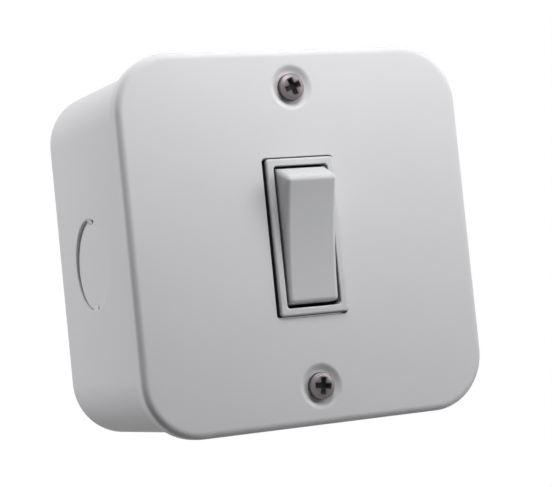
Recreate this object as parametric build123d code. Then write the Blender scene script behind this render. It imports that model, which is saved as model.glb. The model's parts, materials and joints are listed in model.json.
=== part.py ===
from build123d import *
import os
from math import atan2, cos, radians, sin, sqrt, tan

# Metal-clad surface switch with one rocker, in millimetres. The origin is the middle of the wall
# face, +Z is up and the front looks along -Y. "Forward" is a distance out from the wall.

# Steel box and the pan-shaped cover that overlaps its rim
box_size = 101.4
overall_depth = 65.0
sheet = 1.2
box_corner = 15.8
box_back_radius = 3.0
cover_gap = 0.6
rim_gap = 0.1
cover_corner = 16.4
cover_bend = 1.6
cover_flange = 5.0

# Half-sheared conduit knock-outs, one in each side and one in the back
knockout_dia = 26.0
knockout_web = 0.45
knockout_tilt = 1.3
tie_width = 3.6
tie_length = 1.6
tie_root = 0.3
knockout_from_wall = 29.0
side_knockout_drop = 1.5
back_knockout_drop = 22.0

# Wall fixing slots
slot_pitch = 60.0
slot_width = 5.0
slot_length = 9.0

# Cover screws, the dimples that they sit in and the lugs that take them
screw_to_box_edge = 8.95
screw_dia = 3.5
screw_length = 16.0
screw_head_dia = 7.6
screw_head_height = 2.1
screw_head_round = 0.6
recess_span = 4.6
recess_bar = 1.2
recess_depth = 1.4
recess_turn = 20.0
recess_taper = 8.0
screw_point = 0.6
screw_hole_gap = 0.35
thread_gap = 0.05
dimple_depth = 0.9
dimple_floor_gap = 0.7
dimple_run = 1.9
dimple_round = 1.2
dimple_floor_round = 0.8
lug_sheet = 2.0
lug_width = 16.0
lug_leg = 14.0
lug_bend = 1.5
lug_end = 5.5
lug_round = 3.0

# Pressed yoke that carries the switch module behind the cover
yoke_sheet = 1.2
yoke_width = 34.0
yoke_end = 5.5
yoke_corner = 3.0
yoke_lip = 4.0
yoke_lip_length = 56.0
yoke_window_gap = 0.2

# Moulded frame round the rocker
frame_width = 20.8
frame_height = 43.6
frame_proud = 1.0
frame_corner = 1.0
frame_edge_round = 0.6
frame_side = 2.1
frame_end = 2.05
frame_ledge = 5.0
frame_ledge_thick = 1.0
cutout_side_gap = 0.5
cutout_end_gap = 0.45
cutout_shift = 0.4
cutout_drop = 0.2
flange_lip = 2.1
flange_thick = 2.0
spigot_depth = 3.6
barb_length = 6.0
barb_height = 0.8
barb_reach = 0.6
barb_spacing = 28.0
barb_gap = 0.05
catch_width = 6.0
catch_thick = 1.0
catch_reach = 0.6
catch_gap = 0.1

# Rocker, drawn level about its pivot and then tipped to its rest
rocker_tilt = 10.5
rocker_pivot_depth = 2.6
rocker_side_gap = 0.55
rocker_end_gap = 0.55
rocker_rim = 7.3
rocker_dish = 1.27
rocker_shoulder = 0.5
rocker_skirt = 1.0
rocker_end_draft = 13.4
rocker_side_draft = 1.0
rocker_wall = 1.5
rocker_edge_round = 0.6
rocker_rib = 1.2
trunnion_dia = 3.0
trunnion_length = 2.0
trunnion_fit = 0.05
trunnion_lobe = 0.9
trunnion_lobe_thick = 3.0

# Sprung plunger in the rocker
plunger_dia = 3.7
plunger_fit = 0.1
plunger_set_back = 0.6
plunger_tip_round = 1.5
plunger_nub_dia = 1.8
plunger_nub = 1.2
boss_wall = 1.15
boss_reach = 3.0
pocket_roof = 1.9
spring_wire = 0.4
spring_mean_dia = 2.8
spring_turns = 5

# Tilting contact arm
pivot_to_fulcrum = 10.0
arm_tilt = 8.0
arm_thick = 0.9
arm_width = 5.6
arm_long = 10.0
arm_short = 6.0
arm_end_round = 1.5
arm_pin_dia = 1.2
arm_pin_fit = 0.05
arm_side_gap = 0.4
tip_gap = 0.2

# Contacts
contact_reach = 8.0
moving_button_dia = 3.0
moving_button_height = 0.7
moving_button_dome = 3.0
fixed_button_dia = 3.4
fixed_button_height = 0.6
fixed_button_round = 0.2
contact_rivet_dia = 1.6
contact_rivet_fit = 0.02
closed_gap = 0.15

# Brass terminals in the moulded base
strip_thick = 1.0
strip_width = 6.0
strip_overhang = 2.4
ear_thick = 1.0
ear_half = 1.8
ear_rise = 0.9
block_width = 8.4
block_depth = 8.0
block_length = 9.0
block_chamfer = 0.4
wire_bore = 4.2
terminal_screw_dia = 3.4
terminal_head_dia = 5.2
terminal_head_height = 1.6
terminal_slot = 0.8
terminal_slot_depth = 0.8
terminal_screw_bite = 1.0
mould_gap = 0.1
base_wall = 1.7
base_back_wall = 2.0
base_corner = 1.5
base_back_round = 0.8
pocket_gap = 0.2
entry_gap = 0.3
barrier_thick = 1.0
barrier_height = 2.2

# Earth terminal on the back of the box
earth_to_box_side = 23.7
earth_to_box_bottom = 12.7
earth_block_width = 11.0
earth_block_length = 8.0
earth_block_depth = 9.0
earth_foot_length = 7.0
earth_foot_thick = 1.6
earth_bore = 3.6
earth_bore_pitch = 5.4
earth_screw_dia = 2.9
earth_head_dia = 4.4
earth_head_height = 2.0
earth_rivet_dia = 3.0
earth_rivet_head_dia = 5.4
earth_rivet_head = 1.4
earth_rivet_round = 1.0
earth_rivet_fit = 0.02

# Sizes that follow from those above
screw_pitch = box_size - 2 * screw_to_box_edge
cover_size = box_size + 2 * (cover_gap + sheet)
face = overall_depth
cover_back = face - sheet
inner_bend = cover_bend - sheet
bend_overlap = max(inner_bend - cover_gap, 0)
bend_dip = inner_bend - sqrt(inner_bend**2 - bend_overlap**2)
rim = cover_back - bend_dip - rim_gap
screw_z = screw_pitch / 2
screw_seat = face - dimple_depth
dimple_floor = screw_head_dia / 2 + dimple_floor_gap
yoke_front = screw_seat - sheet
yoke_back = yoke_front - yoke_sheet
flange_back = yoke_back - flange_thick
spigot_back = flange_back - spigot_depth
frame_front = face + frame_proud
window_width = frame_width - 2 * frame_side
window_height = frame_height - 2 * frame_end
catch_front = flange_back - catch_gap * 2
pivot = face - rocker_pivot_depth
rocker_width = window_width - 2 * rocker_side_gap
rocker_length = window_height - 2 * rocker_end_gap
rocker_middle = rocker_rim - rocker_dish
pocket_top = rocker_middle - pocket_roof
bore_dia = plunger_dia + 2 * plunger_fit
fulcrum = pivot - pivot_to_fulcrum
plunger_tip = pivot_to_fulcrum - arm_thick / 2 - tip_gap
plunger_top = -plunger_set_back
dome_centre = moving_button_dome - moving_button_height - arm_thick / 2
closed_height = (
    fulcrum
    - contact_reach * sin(radians(arm_tilt))
    + dome_centre * cos(radians(arm_tilt))
    - moving_button_dome
)
closed_z = contact_reach * cos(radians(arm_tilt)) + dome_centre * sin(radians(arm_tilt))
strip_front = closed_height - closed_gap - fixed_button_height
floor = strip_front - strip_thick
block_back = floor - block_depth
base_back = block_back - base_back_wall
base_width = frame_width + 2 * (mould_gap + base_wall)
base_height = frame_height + 2 * (mould_gap + base_wall)
cavity_width = frame_width + 2 * mould_gap
cavity_height = frame_height + 2 * mould_gap
block_z = cavity_height / 2 - pocket_gap - block_length / 2
bore_forward = floor - block_depth / 2
ear_x = arm_width / 2 + arm_side_gap
earth_x = box_size / 2 - earth_to_box_side
earth_drop = box_size / 2 - earth_to_box_bottom

SIDE = Plane(origin=(0, 0, 0), x_dir=(0, -1, 0), z_dir=(-1, 0, 0))
BASED = (Align.CENTER, Align.CENTER, Align.MIN)
UNDER = (Align.CENTER, Align.CENTER, Align.MAX)


def level(forward):
    """Plane parallel to the wall, seen from the front: x across, y up."""
    return Plane.XZ.offset(forward)


def slab(width, height, corner, back, front, x=0, z=0):
    """Rounded rectangle, parallel to the wall, between two forward distances."""
    outline = Pos(x, z) * RectangleRounded(width, height, corner)
    return extrude(level(back) * outline, front - back)


def block(width, height, back, front, x=0, z=0):
    """Square-cornered slab."""
    return extrude(level(back) * Pos(x, z) * Rectangle(width, height), front - back)


def rod(dia, back, front, x=0, z=0):
    """Round bar square to the wall."""
    return extrude(level(back) * Pos(x, z) * Circle(dia / 2), front - back)


def cross_rod(dia, forward, start, end, z=0):
    """Round bar along X between two places on that axis."""
    return extrude(Plane.YZ.offset(start) * Pos(-forward, z) * Circle(dia / 2), end - start)


def upright_rod(dia, forward, start, end, x=0):
    """Round bar along Z between two heights."""
    return extrude(Plane.XY.offset(start) * Pos(x, -forward) * Circle(dia / 2), end - start)


def side_profile(points, width, x=0):
    """Outline in (forward, up) drawn from the side and carried across a width centred on x."""
    outline = make_face(Polyline(*points, close=True))
    return Pos(x, 0, 0) * extrude(SIDE * outline, width / 2, both=True)


def front_edges(shape):
    return shape.faces().sort_by(Axis.Y)[0].edges()


def back_edges(shape):
    return shape.faces().sort_by(Axis.Y)[-1].edges()


def tipped(shape, forward, angle):
    """Turn about the X line at a forward distance; a positive angle brings the top forward."""
    return shape.rotate(Axis((0, -forward, 0), (1, 0, 0)), angle)


def knocked_out(shape, outer_face):
    """Push a disc of the wall inwards, one end deeper, held by a sheared web and two ramped ties."""
    push = sheet - knockout_web
    radius = knockout_dia / 2
    seat = Pos(0, 0, -push) * Rot(-knockout_tilt, 0, 0)
    well = seat * Cylinder(radius, 2 * sheet, align=BASED)
    disc = seat * Cylinder(radius, sheet, align=UNDER)
    for side in (-1, 1):
        outer_end = side * (radius + tie_root)
        inner_end = side * (radius - tie_length)
        bottom = -push - inner_end * tan(radians(knockout_tilt))
        ramp = Polyline((outer_end, 0), (inner_end, bottom), (outer_end, bottom), close=True)
        disc += extrude(Plane.YZ * make_face(ramp), tie_width / 2, both=True)
    return shape - outer_face * well + outer_face * disc


def surface_box():
    """Drawn steel box, open at the front."""
    inner_size = box_size - 2 * sheet
    outer = slab(box_size, box_size, box_corner, 0, rim)
    outer = fillet(back_edges(outer), box_back_radius)
    hollow = slab(inner_size, inner_size, box_corner - sheet, sheet, rim)
    hollow = fillet(back_edges(hollow), box_back_radius - sheet)
    shell = outer - hollow
    half = box_size / 2
    walls = [
        Plane((-half, -knockout_from_wall, -side_knockout_drop), (0, -1, 0), (-1, 0, 0)),
        Plane((half, -knockout_from_wall, -side_knockout_drop), (0, 1, 0), (1, 0, 0)),
        Plane((0, -knockout_from_wall, half), (0, 1, 0), (0, 0, 1)),
        Plane((0, -knockout_from_wall, -half), (0, 1, 0), (0, 0, -1)),
        Plane((0, 0, -back_knockout_drop), (1, 0, 0), (0, 1, 0)),
    ]
    for wall in walls:
        shell = knocked_out(shell, wall)
    for x in (-slot_pitch / 2, slot_pitch / 2):
        slot = level(0) * Pos(x, 0) * SlotOverall(slot_length, slot_width)
        shell -= extrude(slot, sheet)
    rivet_x = earth_x - earth_block_width / 2 - earth_foot_length / 2
    shell -= rod(earth_rivet_dia + 2 * earth_rivet_fit, 0, sheet, rivet_x, -earth_drop)
    return shell


def cover_plate():
    """Pressed pan with a dimple for each screw and a cut-out for the frame."""
    back = face - cover_flange
    inner_size = cover_size - 2 * sheet
    pan = slab(cover_size, cover_size, cover_corner, back, face)
    pan = fillet(front_edges(pan), cover_bend)
    hollow = slab(inner_size, inner_size, cover_corner - sheet, back, cover_back)
    hollow = fillet(front_edges(hollow), inner_bend)
    pan -= hollow
    slope = atan2(dimple_depth, dimple_run)
    spread = sheet * tan(slope / 2)
    mouth = dimple_floor + dimple_run
    for z in (-screw_z, screw_z):
        bulge = Cone(dimple_floor + spread, mouth + spread, dimple_depth, align=BASED)
        dish = Cone(dimple_floor, mouth, dimple_depth, align=BASED)
        pan += level(yoke_front) * Pos(0, z, 0) * bulge
        pan -= level(screw_seat) * Pos(0, z, 0) * dish
        pan -= rod(screw_dia + 2 * screw_hole_gap, yoke_front, face, 0, z)
    brims = front_edges(pan).filter_by(lambda edge: edge.geom_type == GeomType.CIRCLE)
    brims = brims.filter_by(lambda edge: edge.is_closed)
    pan = fillet(brims, dimple_round)
    circles = pan.edges().filter_by(GeomType.CIRCLE)
    floors = circles.filter_by(lambda edge: abs(edge.arc_center.Y + screw_seat) < dimple_depth / 4)
    floors = floors.filter_by(lambda edge: edge.radius > screw_dia)
    pan = fillet(floors, dimple_floor_round)
    width = frame_width + 2 * cutout_side_gap
    height = frame_height + 2 * cutout_end_gap
    return pan - slab(width, height, frame_corner, cover_back, face, -cutout_shift, -cutout_drop)


def cross_recess(depth, front, z):
    """Tapered cross in a screw head that looks forward."""
    bar = Rectangle(recess_span, recess_bar) + Rectangle(recess_bar, recess_span)
    outline = level(front) * Pos(0, z) * Rot(0, 0, recess_turn) * bar
    return extrude(outline, -depth, taper=recess_taper)


def cover_screws():
    """Two pan-head screws on the centre line."""
    screws = []
    for z in (screw_z, -screw_z):
        head_front = screw_seat + screw_head_height
        head = rod(screw_head_dia, screw_seat, head_front, 0, z)
        head = fillet(front_edges(head), screw_head_round)
        head -= cross_recess(recess_depth, head_front, z)
        shank = rod(screw_dia, screw_seat - screw_length, screw_seat, 0, z)
        shank = chamfer(back_edges(shank), screw_point)
        screws.append(head + shank)
    return Compound(children=screws)


def screw_lug():
    """Bent steel lug welded inside the top wall, tapped for a cover screw."""
    wall = box_size / 2 - sheet
    tip = screw_z - lug_end
    points = [
        (yoke_back, tip),
        (yoke_back, wall),
        (yoke_back - lug_leg, wall),
        (yoke_back - lug_leg, wall - lug_sheet),
        (yoke_back - lug_sheet, wall - lug_sheet),
        (yoke_back - lug_sheet, tip),
    ]
    lug = side_profile(points, lug_width)
    bends = lug.edges().filter_by(Axis.X)
    lug = fillet(bends.sort_by(Axis.Z)[-2:].sort_by(Axis.Y)[0], lug_bend + lug_sheet)
    inner_corner = (0, lug_sheet - yoke_back, wall - lug_sheet)
    lug = fillet(lug.edges().filter_by(Axis.X).sort_by_distance(inner_corner)[0], lug_bend)
    lug = fillet(lug.faces().sort_by(Axis.Z)[0].edges().filter_by(Axis.Y), lug_round)
    return lug - rod(screw_dia + 2 * thread_gap, yoke_back - lug_sheet, yoke_back, 0, screw_z)


def mounting_yoke():
    """Pressed strap with turned-back lips and a window for the switch module."""
    strap = slab(yoke_width, screw_pitch + 2 * yoke_end, yoke_corner, yoke_back, yoke_front)
    for side in (-1, 1):
        x = side * (yoke_width - yoke_sheet) / 2
        strap += block(yoke_sheet, yoke_lip_length, yoke_back - yoke_lip, yoke_back, x)
    gap = 2 * yoke_window_gap
    strap -= slab(frame_width + gap, frame_height + gap, frame_corner, yoke_back, yoke_front)
    hole = screw_dia + 2 * screw_hole_gap
    for z in (-screw_z, screw_z):
        slot = level(yoke_back) * Pos(0, z) * SlotOverall(hole * 2, hole)
        strap -= extrude(slot, yoke_sheet)
    return strap


def switch_frame():
    """Moulded frame: border round the rocker, flange behind the yoke, and ledges in its spigot."""
    body = slab(frame_width, frame_height, frame_corner, spigot_back, frame_front)
    body = fillet(front_edges(body), frame_edge_round)
    flange_width = frame_width + 2 * flange_lip
    flange_height = frame_height + 2 * flange_lip
    body += slab(flange_width, flange_height, base_corner, flange_back, yoke_back)
    barb_back = yoke_front + barb_gap
    for side in (-1, 1):
        for z in (-barb_spacing / 2, barb_spacing / 2):
            body += barb(side, barb_back, z)
        catch_z = side * (frame_height + catch_reach) / 2
        body += block(catch_width, catch_reach, catch_front - catch_thick, catch_front, 0, catch_z)
    ledge_front = spigot_back + frame_ledge_thick
    body -= slab(window_width, window_height, frame_corner, ledge_front, frame_front)
    body -= block(window_width, window_height - 2 * frame_ledge, spigot_back, ledge_front)
    bearing = trunnion_dia + 2 * trunnion_fit
    reach = rocker_width / 2 + trunnion_length + trunnion_fit * 2
    return body - cross_rod(bearing, pivot, -reach, reach)


def barb(side, back, z):
    """Wedge on the long side of the frame that snaps over the front of the yoke."""
    root = frame_width / 2
    wedge = make_face(
        Polyline(
            (side * root, -back),
            (side * (root + barb_reach), -back),
            (side * root, -back - barb_height),
            close=True,
        )
    )
    return extrude(Plane.XY.offset(z) * wedge, barb_length / 2, both=True)


def rocker_blank(inset, bottom):
    """Drafted block with a dished face, level about the pivot and smaller by an inset all round."""
    base = rocker_length / 2 - inset
    top = base - (rocker_rim - rocker_shoulder) * tan(radians(rocker_end_draft))
    brim = rocker_rim - inset
    outline = [
        Polyline((brim, -top), (rocker_shoulder, -base), (bottom, -base)),
        Line((bottom, -base), (bottom, base)),
        Polyline((bottom, base), (rocker_shoulder, base), (brim, top)),
        ThreePointArc((brim, top), (rocker_middle - inset, 0), (brim, -top)),
    ]
    width = rocker_width - 2 * inset
    bar = extrude(SIDE * make_face(outline), width / 2, both=True)
    lower = extrude(level(bottom) * Rectangle(width, rocker_length), rocker_shoulder - bottom)
    upper = extrude(
        level(rocker_shoulder) * Rectangle(width, 2 * rocker_length),
        rocker_rim,
        taper=rocker_side_draft,
    )
    return bar & (lower + upper)


def rocker():
    """Hollow moulded rocker with trunnions, a plunger boss and stiffening ribs."""
    shell = rocker_blank(0, -rocker_skirt)
    flat_seam = shell.edges().filter_by_position(Axis.Y, -rocker_shoulder, -rocker_shoulder)
    open_back = shell.edges().filter_by_position(Axis.Y, rocker_skirt, rocker_skirt)
    shell = fillet(shell.edges() - flat_seam - open_back, rocker_edge_round)
    hollow = rocker_blank(rocker_wall, -rocker_skirt)
    lobe_dia = trunnion_dia + 2 * trunnion_lobe
    for side in (-1, 1):
        outer = side * rocker_width / 2
        hollow -= cross_rod(lobe_dia, 0, outer, outer - side * trunnion_lobe_thick)
    boss_dia = bore_dia + 2 * boss_wall
    hollow -= rod(boss_dia, -boss_reach, rocker_rim)
    hollow -= block(rocker_width, rocker_rib, 0, rocker_rim)
    shell -= hollow
    for side in (-1, 1):
        outer = side * rocker_width / 2
        shell += cross_rod(lobe_dia, 0, outer - side * trunnion_lobe_thick, outer)
        shell += cross_rod(trunnion_dia, 0, outer, outer + side * trunnion_length)
    shell += rod(boss_dia, -boss_reach, -rocker_skirt)
    shell -= rod(bore_dia, -boss_reach, pocket_top)
    return seated_in_rocker(shell)


def seated_in_rocker(shape):
    """Move a piece drawn level about the pivot to the rocker's rest, with its top tipped forward."""
    return tipped(Pos(0, -pivot, 0) * shape, pivot, rocker_tilt)


def plunger():
    """Nylon pin with a round tip and a nub that centres the spring."""
    pin = rod(plunger_dia, -plunger_tip, plunger_top)
    pin = fillet(back_edges(pin), plunger_tip_round)
    pin += rod(plunger_nub_dia, plunger_top, plunger_top + plunger_nub)
    return seated_in_rocker(pin)


def plunger_spring():
    """Compression spring between the pocket in the boss and the plunger."""
    height = pocket_top - plunger_top - spring_wire
    path = Helix(height / spring_turns, height, spring_mean_dia / 2)
    start = Plane(path @ 0, z_dir=path % 0)
    coil = sweep(start * Circle(spring_wire / 2), path=path, is_frenet=True)
    return seated_in_rocker(level(plunger_top + spring_wire / 2) * coil)


def seated_on_fulcrum(shape):
    """Move a piece drawn level about the fulcrum to the arm's rest, with its top end set back."""
    return tipped(Pos(0, -fulcrum, 0) * shape, fulcrum, -arm_tilt)


def contact_arm():
    """Brass strip that rocks on two side pins."""
    half = arm_thick / 2
    middle = (arm_long - arm_short) / 2
    strip = slab(arm_width, arm_long + arm_short, arm_end_round, -half, half, 0, middle)
    for side in (-1, 1):
        tip = side * (ear_x + ear_thick + arm_side_gap)
        strip += cross_rod(arm_pin_dia, 0, side * arm_width / 2, tip)
    strip -= rod(contact_rivet_dia + 2 * contact_rivet_fit, -half, half, 0, contact_reach)
    return seated_on_fulcrum(strip)


def moving_contact():
    """Silver rivet with a domed face, fixed through the long end of the arm."""
    half = arm_thick / 2
    button = rod(moving_button_dia, -half - moving_button_height, -half, 0, contact_reach)
    dome = level(dome_centre) * Pos(0, contact_reach, 0) * Sphere(moving_button_dome)
    button = button & dome
    button += rod(contact_rivet_dia, -half, half, 0, contact_reach)
    return seated_on_fulcrum(button)


def fixed_contact():
    """Silver rivet in the strip of the line terminal, facing forward."""
    button = rod(fixed_button_dia, strip_front, strip_front + fixed_button_height, 0, closed_z)
    button = fillet(front_edges(button), fixed_button_round)
    return button + rod(contact_rivet_dia, floor, strip_front, 0, closed_z)


def terminal_block(side):
    """Tunnel terminal: a brass block with a wire bore and a tapped hole from the back."""
    body = block(block_width, block_length, block_back, floor, 0, side * block_z)
    body = chamfer(body.edges().filter_by(Axis.Z), block_chamfer)
    low = side * block_z - block_length / 2
    body -= upright_rod(wire_bore, bore_forward, low, low + block_length)
    tapped = terminal_screw_dia + 2 * thread_gap
    return body - rod(tapped, block_back, bore_forward, 0, side * block_z)


def line_terminal():
    """Top terminal, with the strip that carries the fixed contact."""
    start = closed_z - strip_overhang
    end = block_z + block_length / 2
    strip = block(strip_width, end - start, floor, strip_front, 0, (start + end) / 2)
    strip -= rod(contact_rivet_dia + 2 * contact_rivet_fit, floor, strip_front, 0, closed_z)
    return strip + terminal_block(1)


def common_terminal():
    """Bottom terminal, with two notched ears that cradle the arm's pins."""
    start = -block_z - block_length / 2
    width = 2 * (ear_x + ear_thick)
    piece = block(width, ear_half - start, floor, strip_front, 0, (start + ear_half) / 2)
    notch = arm_pin_dia + 2 * arm_pin_fit
    for side in (-1, 1):
        x = side * (ear_x + ear_thick / 2)
        ear = block(ear_thick, 2 * ear_half, strip_front, fulcrum + ear_rise, x)
        ear -= cross_rod(notch, fulcrum, x - ear_thick, x + ear_thick)
        ear -= block(ear_thick, notch, fulcrum, fulcrum + ear_rise, x)
        piece += ear
    return piece + terminal_block(-1)


def slotted_screw(dia, head_dia, head_height, length, slot, slot_depth):
    """Cheese-head screw along +Z, its head under the origin plane and its shank above."""
    head = Cylinder(head_dia / 2, head_height, align=UNDER)
    cut = Pos(0, 0, -head_height) * Box(head_dia, slot, slot_depth, align=BASED)
    return head - cut + Cylinder(dia / 2, length, align=BASED)


def terminal_screws():
    """Two clamping screws, reached from the back of the base."""
    length = bore_forward - wire_bore / 2 - block_back + terminal_screw_bite
    screw = slotted_screw(
        terminal_screw_dia,
        terminal_head_dia,
        terminal_head_height,
        length,
        terminal_slot,
        terminal_slot_depth,
    )
    return Compound(children=[level(block_back) * Pos(0, z, 0) * screw for z in (block_z, -block_z)])


def switch_base():
    """Moulded base with a well for the arm, terminal pockets and holes for wires and screws."""
    body = slab(base_width, base_height, base_corner, base_back, flange_back)
    body = fillet(back_edges(body), base_back_round)
    body -= slab(cavity_width, cavity_height, frame_corner, floor, flange_back)
    barrier_z = (ear_half + closed_z - strip_overhang) / 2
    body += block(cavity_width, barrier_thick, floor, floor + barrier_height, 0, barrier_z)
    gap = 2 * pocket_gap
    for side in (-1, 1):
        body -= block(block_width + gap, block_length + gap, block_back, floor, 0, side * block_z)
        body -= rod(terminal_head_dia + gap * 2, base_back, block_back, 0, side * block_z)
        inner = side * (cavity_height / 2 - pocket_gap)
        outer = side * base_height / 2
        body -= upright_rod(wire_bore + 2 * entry_gap, bore_forward, inner, outer)
        window = block(
            catch_width + 2 * catch_gap,
            2 * base_wall,
            catch_front - catch_thick - catch_gap,
            catch_front + catch_gap,
            0,
            side * (cavity_height + base_wall) / 2,
        )
        body -= window
    return body


def earth_terminal():
    """Brass earth block with two wire bores and a riveted foot."""
    front = sheet + earth_block_depth
    body = block(earth_block_width, earth_block_length, sheet, front, earth_x, -earth_drop)
    foot_x = earth_x - (earth_block_width + earth_foot_length) / 2
    foot_front = sheet + earth_foot_thick
    body += block(earth_foot_length, earth_block_length, sheet, foot_front, foot_x, -earth_drop)
    low = -earth_drop - earth_block_length / 2
    middle = sheet + earth_block_depth / 2
    for x in (earth_x - earth_bore_pitch / 2, earth_x + earth_bore_pitch / 2):
        body -= upright_rod(earth_bore, middle, low, low + earth_block_length, x)
        body -= rod(earth_screw_dia + 2 * thread_gap, middle, front, x, -earth_drop)
    hole = earth_rivet_dia + 2 * earth_rivet_fit
    return body - rod(hole, sheet, foot_front, foot_x, -earth_drop)


def earth_screws():
    """Two screws in the front of the earth block."""
    front = sheet + earth_block_depth
    length = (earth_block_depth - earth_bore) / 2 + terminal_screw_bite
    screw = slotted_screw(
        earth_screw_dia,
        earth_head_dia,
        earth_head_height,
        length,
        terminal_slot,
        terminal_slot_depth,
    )
    screw = Rot(180, 0, 0) * screw
    places = (earth_x - earth_bore_pitch / 2, earth_x + earth_bore_pitch / 2)
    return Compound(children=[level(front) * Pos(x, -earth_drop, 0) * screw for x in places])


def earth_rivet():
    """Rivet through the foot of the earth block and the back of the box, flush with the wall face."""
    x = earth_x - (earth_block_width + earth_foot_length) / 2
    seat = sheet + earth_foot_thick
    head = rod(earth_rivet_head_dia, seat, seat + earth_rivet_head, x, -earth_drop)
    head = fillet(front_edges(head), earth_rivet_round)
    return head + rod(earth_rivet_dia, earth_rivet_fit, seat, x, -earth_drop)


def main():
    lug = screw_lug()
    pieces = {
        "surface_box": surface_box(),
        "cover_plate": cover_plate(),
        "cover_screws": cover_screws(),
        "screw_lug_top": lug,
        "screw_lug_bottom": mirror(lug, about=Plane.XY),
        "mounting_yoke": mounting_yoke(),
        "switch_frame": switch_frame(),
        "rocker": rocker(),
        "plunger": plunger(),
        "plunger_spring": plunger_spring(),
        "contact_arm": contact_arm(),
        "moving_contact": moving_contact(),
        "fixed_contact": fixed_contact(),
        "line_terminal": line_terminal(),
        "common_terminal": common_terminal(),
        "terminal_screws": terminal_screws(),
        "switch_base": switch_base(),
        "earth_terminal": earth_terminal(),
        "earth_screws": earth_screws(),
        "earth_rivet": earth_rivet(),
    }
    os.makedirs("parts", exist_ok=True)
    for name, piece in pieces.items():
        export_step(piece, f"parts/{name}.step")


main()
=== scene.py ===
import json
import math

import bmesh
import bpy
from mathutils import Matrix, Vector
from mathutils.geometry import delaunay_2d_cdt


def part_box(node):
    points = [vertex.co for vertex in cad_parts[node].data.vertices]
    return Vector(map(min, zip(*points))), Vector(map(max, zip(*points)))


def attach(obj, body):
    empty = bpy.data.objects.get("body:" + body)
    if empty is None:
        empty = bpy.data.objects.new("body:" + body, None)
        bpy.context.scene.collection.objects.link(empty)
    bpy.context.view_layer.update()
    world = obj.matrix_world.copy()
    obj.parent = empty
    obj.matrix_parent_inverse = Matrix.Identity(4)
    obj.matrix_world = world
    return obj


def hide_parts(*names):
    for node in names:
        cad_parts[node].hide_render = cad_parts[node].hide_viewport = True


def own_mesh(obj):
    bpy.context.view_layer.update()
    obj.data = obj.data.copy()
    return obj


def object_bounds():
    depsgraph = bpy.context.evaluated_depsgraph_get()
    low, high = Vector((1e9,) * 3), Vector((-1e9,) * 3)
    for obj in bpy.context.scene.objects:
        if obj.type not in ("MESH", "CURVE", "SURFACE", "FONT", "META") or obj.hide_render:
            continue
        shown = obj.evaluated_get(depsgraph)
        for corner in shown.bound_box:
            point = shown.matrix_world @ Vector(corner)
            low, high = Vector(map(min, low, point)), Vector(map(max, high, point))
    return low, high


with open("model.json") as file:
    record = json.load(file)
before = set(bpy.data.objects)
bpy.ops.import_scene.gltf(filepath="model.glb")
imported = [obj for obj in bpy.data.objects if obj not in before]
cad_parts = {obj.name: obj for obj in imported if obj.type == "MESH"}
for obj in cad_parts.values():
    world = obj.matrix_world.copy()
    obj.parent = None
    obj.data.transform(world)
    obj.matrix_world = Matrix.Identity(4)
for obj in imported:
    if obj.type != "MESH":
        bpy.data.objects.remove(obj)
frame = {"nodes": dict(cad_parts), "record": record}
CAD_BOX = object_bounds()

bl_info = {
    "name": "Metal-Clad Rocker Switch",
    "version": (1, 0, 0),
    "blender": (4, 5, 0),
    "location": "View3D > Sidebar > Switch",
    "description": "Painted shell, mouldings, screws and studio for a surface-mounted steel rocker switch",
    "category": "Object",
}

CORNER_STEPS = 20
ROUND_STEPS = 96
FLOAT = "NodeSocketFloat"
VECTOR = "NodeSocketVector"
SOCKETS = {float: FLOAT, int: "NodeSocketInt", tuple: "NodeSocketColor"}

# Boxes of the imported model, in metres; "forward" is a distance out from the wall, along -Y
COVER_LOW, COVER_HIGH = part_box("cover_plate")
BOX_LOW, BOX_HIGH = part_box("surface_box")
SCREWS_LOW, SCREWS_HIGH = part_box("cover_screws")
FRAME_LOW, FRAME_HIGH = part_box("switch_frame")
FACE = -COVER_LOW.y


def add(tree, kind, inputs=None, **settings):
    """Add a node; inputs maps a socket's name or index to a value, or to the socket that feeds it."""
    made = tree.nodes.new(kind)
    for key, value in settings.items():
        setattr(made, key, value)
    for key, value in (inputs or {}).items():
        if isinstance(value, bpy.types.NodeSocket):
            tree.links.new(value, made.inputs[key])
        else:
            made.inputs[key].default_value = value
    return made


def out(tree, kind, inputs=None, **settings):
    """First output of a new node."""
    return add(tree, kind, inputs, **settings).outputs[0]


def maths(tree, operation, *values):
    """Output of a Math node."""
    return out(tree, "ShaderNodeMath", dict(enumerate(values)), operation=operation)


def times(tree, first, second):
    """Product of two values."""
    return maths(tree, "MULTIPLY", first, second)


def ranged(tree, value, low, high, to_low=0.0, to_high=1.0, soft=False):
    """A value taken from one range to another, straight or with soft ends."""
    ranges = {"Value": value, "From Min": low, "From Max": high, "To Min": to_low, "To Max": to_high}
    ends = "SMOOTHSTEP" if soft else "LINEAR"
    return out(tree, "ShaderNodeMapRange", ranges, interpolation_type=ends)


def noise(tree, scale, detail, roughness=0.5):
    """Noise over an object's own coordinates."""
    place = add(tree, "ShaderNodeTexCoord").outputs["Object"]
    look = {"Vector": place, "Scale": scale, "Detail": detail, "Roughness": roughness}
    return out(tree, "ShaderNodeTexNoise", look)


def new_group(name, kind, inputs, outputs):
    """Node group, its inputs inside it and the sockets for its results.

    inputs maps a name to its default, or to a socket type if it has none; outputs maps one to its type.
    """
    group = bpy.data.node_groups.new(name, kind)
    for label, default in inputs.items():
        bare = isinstance(default, str)
        socket = default if bare else SOCKETS[type(default)]
        made = group.interface.new_socket(label, in_out="INPUT", socket_type=socket)
        if not bare:
            made.default_value = default
    for label, socket in outputs.items():
        group.interface.new_socket(label, in_out="OUTPUT", socket_type=socket)
    start = group.nodes.new("NodeGroupInput")
    end = group.nodes.new("NodeGroupOutput")
    return group, start.outputs, end.inputs


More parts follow.
